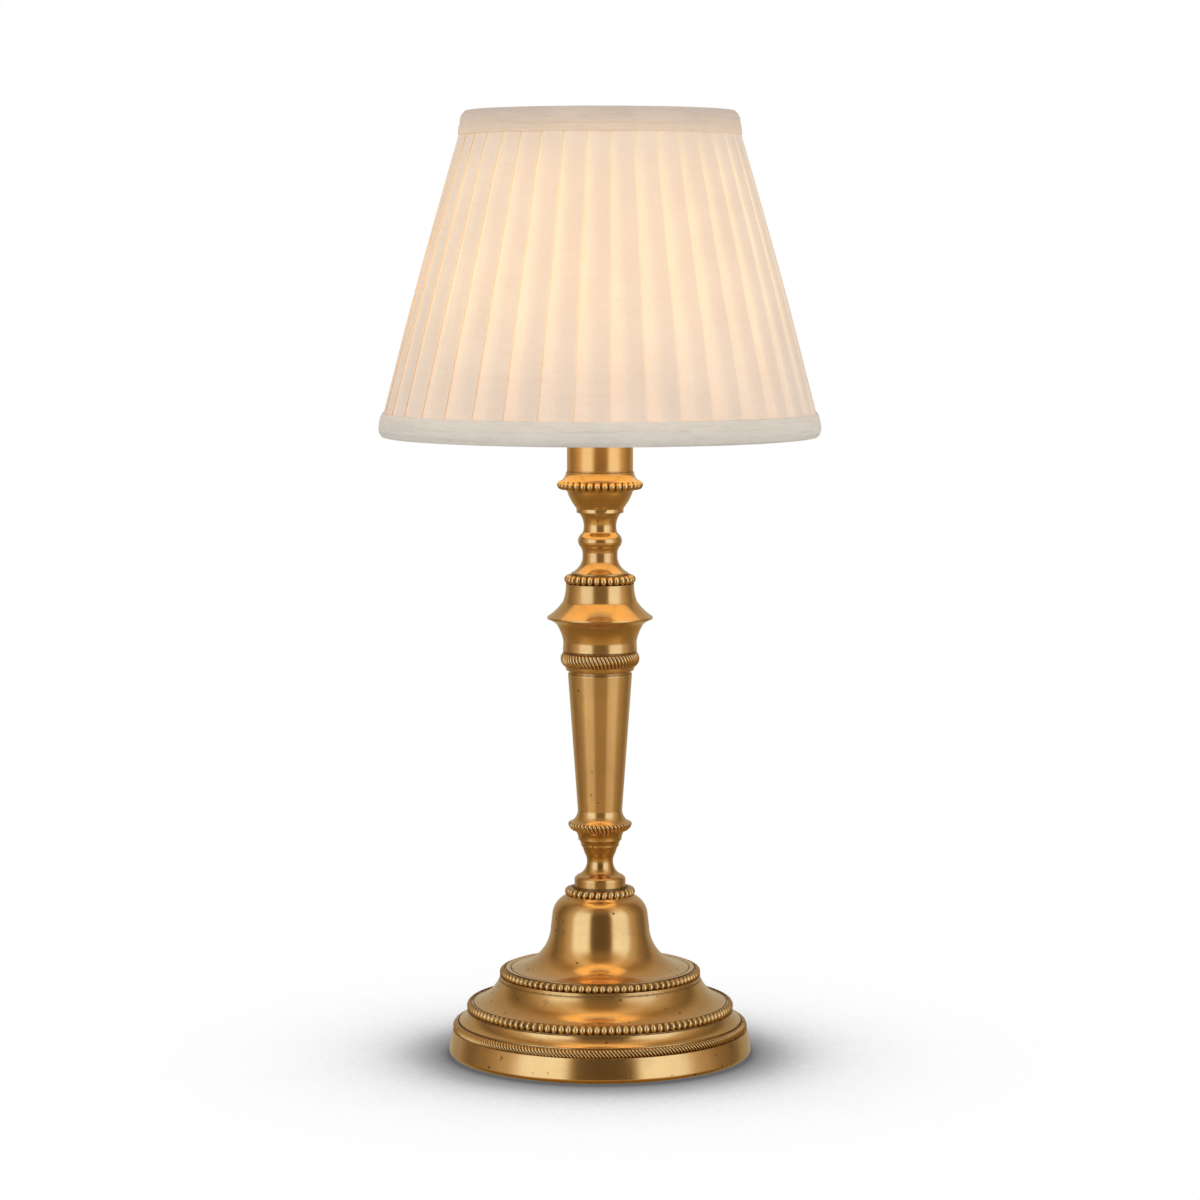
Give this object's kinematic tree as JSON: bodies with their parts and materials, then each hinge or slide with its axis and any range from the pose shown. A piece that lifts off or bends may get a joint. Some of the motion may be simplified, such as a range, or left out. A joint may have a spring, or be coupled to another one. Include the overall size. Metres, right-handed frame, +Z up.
{
  "type": "candlestick table lamp",
  "caption": "Turned brass candlestick table lamp with a stepped round base, beaded and roped rings, and a knife-pleated empire shade round a candle bulb.",
  "frame": {"origin": "centre of the base on the floor", "axes": "+Z up along the stick, -Y towards the viewer, cord bushing at the back (+Y)"},
  "size_m": [0.2034, 0.2034, 0.4372],
  "materials": {
    "brass": "aged satin brass with darker recesses",
    "tube_brass": "brushed round its axis",
    "steel": "zinc plated",
    "weight_iron": "as cast",
    "felt": "dark green felt",
    "bushing_plastic": "moulded",
    "holder_plastic": "moulded black",
    "insulator_ceramic": "unglazed",
    "contact_brass": "bright",
    "cap_metal": "plain",
    "bulb_glass": "frosted warm",
    "stem_glass": "clear",
    "filament": "glowing wire",
    "frame_paint": "white enamel",
    "lining": "translucent white laminate",
    "cover_fabric": "knife-pleated beige fabric",
    "trim_fabric": "folded beige binding"
  },
  "bodies": {
    "lamp": {"felt_pad": "felt", "base_shell": "brass", "foot_rope_band": "brass", "foot_bead_ring": "brass", "tier_bead_ring": "brass", "dome_bead_ring": "brass", "base_weight": "weight_iron", "bottom_nut": "steel", "lock_washer": "steel", "weight_washer": "steel", "tie_rod": "steel", "earth_screw": "steel", "cord_bushing": "bushing_plastic", "lower_knop": "brass", "lower_rope_ring": "brass", "column": "brass", "upper_rope_ring": "brass", "capital": "brass", "capital_bead_ring": "brass", "upper_knop": "brass", "candle_cup": "brass", "cup_bead_ring": "brass", "candle_tube": "tube_brass", "top_nut": "steel", "holder_cap": "holder_plastic", "holder_body": "holder_plastic", "insulator": "insulator_ceramic", "centre_contact": "contact_brass", "screw_shell": "contact_brass", "terminal_screws": "contact_brass"},
    "switch": {"switch_bar": "holder_plastic", "switch_contact": "contact_brass"},
    "bulb_carrier": {"bulb_tip": "cap_metal"},
    "bulb": {"bulb_cap": "cap_metal", "bulb_glass": "bulb_glass", "bulb_stem": "stem_glass", "filament": "filament"},
    "shade_clamp": {"shade_ring": "holder_plastic"},
    "shade": {"shade_bottom_ring": "frame_paint", "fitter_ring": "frame_paint", "fitter_arms": "frame_paint", "shade_top_ring": "frame_paint", "shade_lining": "lining", "pleated_cover": "cover_fabric", "top_trim": "trim_fabric", "bottom_trim": "trim_fabric"}
  },
  "joints": [
    {"name": "switch_push", "type": "slide", "parent": "lamp", "child": "switch", "axis": [1, 0, 0], "range_m": [0, 0.005]},
    {"name": "bulb_rise", "type": "slide", "parent": "lamp", "child": "bulb_carrier", "axis": [0, 0, 1], "range_m": [0, 0.00988]},
    {"name": "bulb_turn", "type": "hinge", "parent": "bulb_carrier", "child": "bulb", "pos_m": [0, 0, 0.334], "axis": [0, 0, 1], "range_deg": [0, 1260]},
    {"name": "shade_ring_rise", "type": "slide", "parent": "lamp", "child": "shade_clamp", "axis": [0, 0, 1], "range_m": [0, 0.008]},
    {"name": "shade_turn", "type": "hinge", "parent": "lamp", "child": "shade", "pos_m": [0, 0, 0.3083], "axis": [0, 0, 1], "continuous": true}
  ],
  "couplings": [
    {"joint": "bulb_rise", "follows": "bulb_turn", "m_per_rad": 0.00044882}
  ]
}
